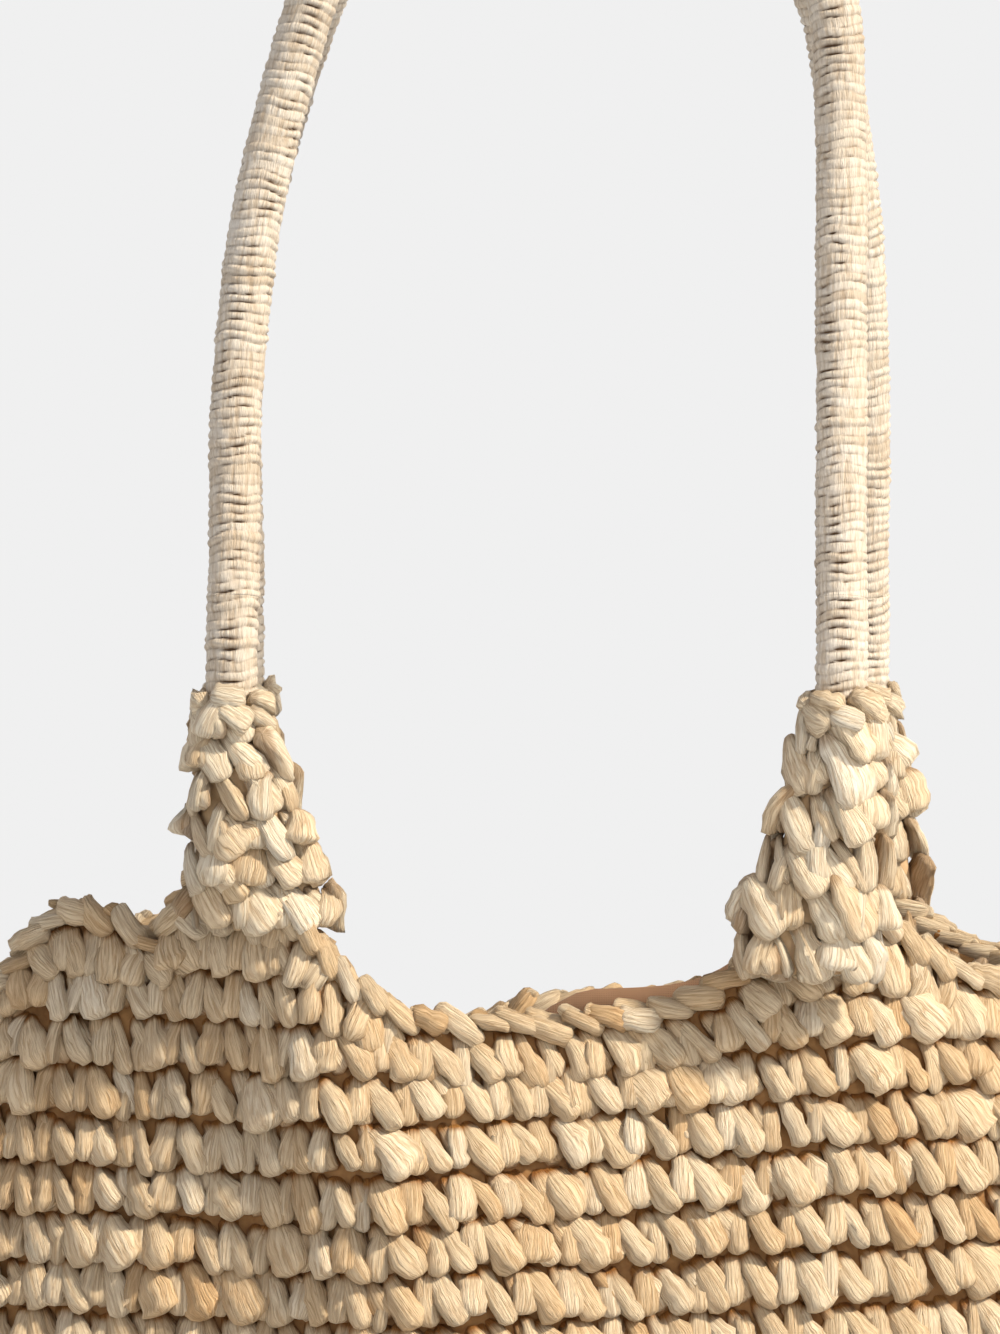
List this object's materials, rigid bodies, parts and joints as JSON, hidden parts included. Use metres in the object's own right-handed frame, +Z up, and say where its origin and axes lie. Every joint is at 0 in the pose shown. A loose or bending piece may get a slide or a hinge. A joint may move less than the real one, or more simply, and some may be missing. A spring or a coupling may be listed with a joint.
{
  "type": "hobo bag",
  "caption": "Open-topped crocheted straw shoulder bag with two long wrapped rope handles rising from tapered horns, a cotton lining and a magnetic snap.",
  "frame": {"origin": "centre of the flat base, at the height the bag stands on", "axes": "+Z up, +X along the bag's width towards its right, +Y towards its back"},
  "size_m": [0.3356, 0.1384, 0.554],
  "materials": {
    "straw": "crinkled matt straw",
    "cord": "tightly wound waxed paper cord",
    "rope": "twisted jute",
    "lining": "plain woven cotton",
    "board": "matt",
    "snap": "nickel plated"
  },
  "bodies": {
    "root": {"base_panel": "straw", "body_wall": "straw", "rim_edging": "straw", "horn_front_left": "straw", "horn_front_right": "straw", "horn_back_left": "straw", "horn_back_right": "straw", "binding_front_left": "straw", "binding_front_right": "straw", "binding_back_left": "straw", "binding_back_right": "straw", "root_wrap_front": "cord", "root_wrap_back": "cord", "rope_tails_front": "rope", "rope_tails_back": "rope", "lining": "lining", "lining_pocket": "lining", "base_board": "board", "snap_socket": "snap", "snap_stud": "snap", "snap_washer_front": "snap", "snap_washer_back": "snap"},
    "front_bend": {"bend_wrap_front": "cord", "bend_rope_front": "rope"},
    "front_handle": {"handle_wrap_front": "cord", "handle_rope_front": "rope"},
    "back_bend": {"bend_wrap_back": "cord", "bend_rope_back": "rope"},
    "back_handle": {"handle_wrap_back": "cord", "handle_rope_back": "rope"}
  },
  "joints": [
    {"name": "front_handle_root", "type": "hinge", "parent": "root", "child": "front_bend", "pos_m": [0, -0.045, 0.333], "axis": [1, 0, 0], "range_deg": [0, 80]},
    {"name": "front_handle_fold", "type": "hinge", "parent": "front_bend", "child": "front_handle", "pos_m": [0, -0.04031, 0.36263], "axis": [1, 0, 0], "range_deg": [0, 80]},
    {"name": "back_handle_root", "type": "hinge", "parent": "root", "child": "back_bend", "pos_m": [0, 0.045, 0.333], "axis": [-1, 0, 0], "range_deg": [0, 80]},
    {"name": "back_handle_fold", "type": "hinge", "parent": "back_bend", "child": "back_handle", "pos_m": [0, 0.04031, 0.36263], "axis": [-1, 0, 0], "range_deg": [0, 80]}
  ],
  "couplings": [
    {"joint": "front_handle_fold", "follows": "front_handle_root", "ratio": 1},
    {"joint": "back_handle_fold", "follows": "back_handle_root", "ratio": 1}
  ]
}
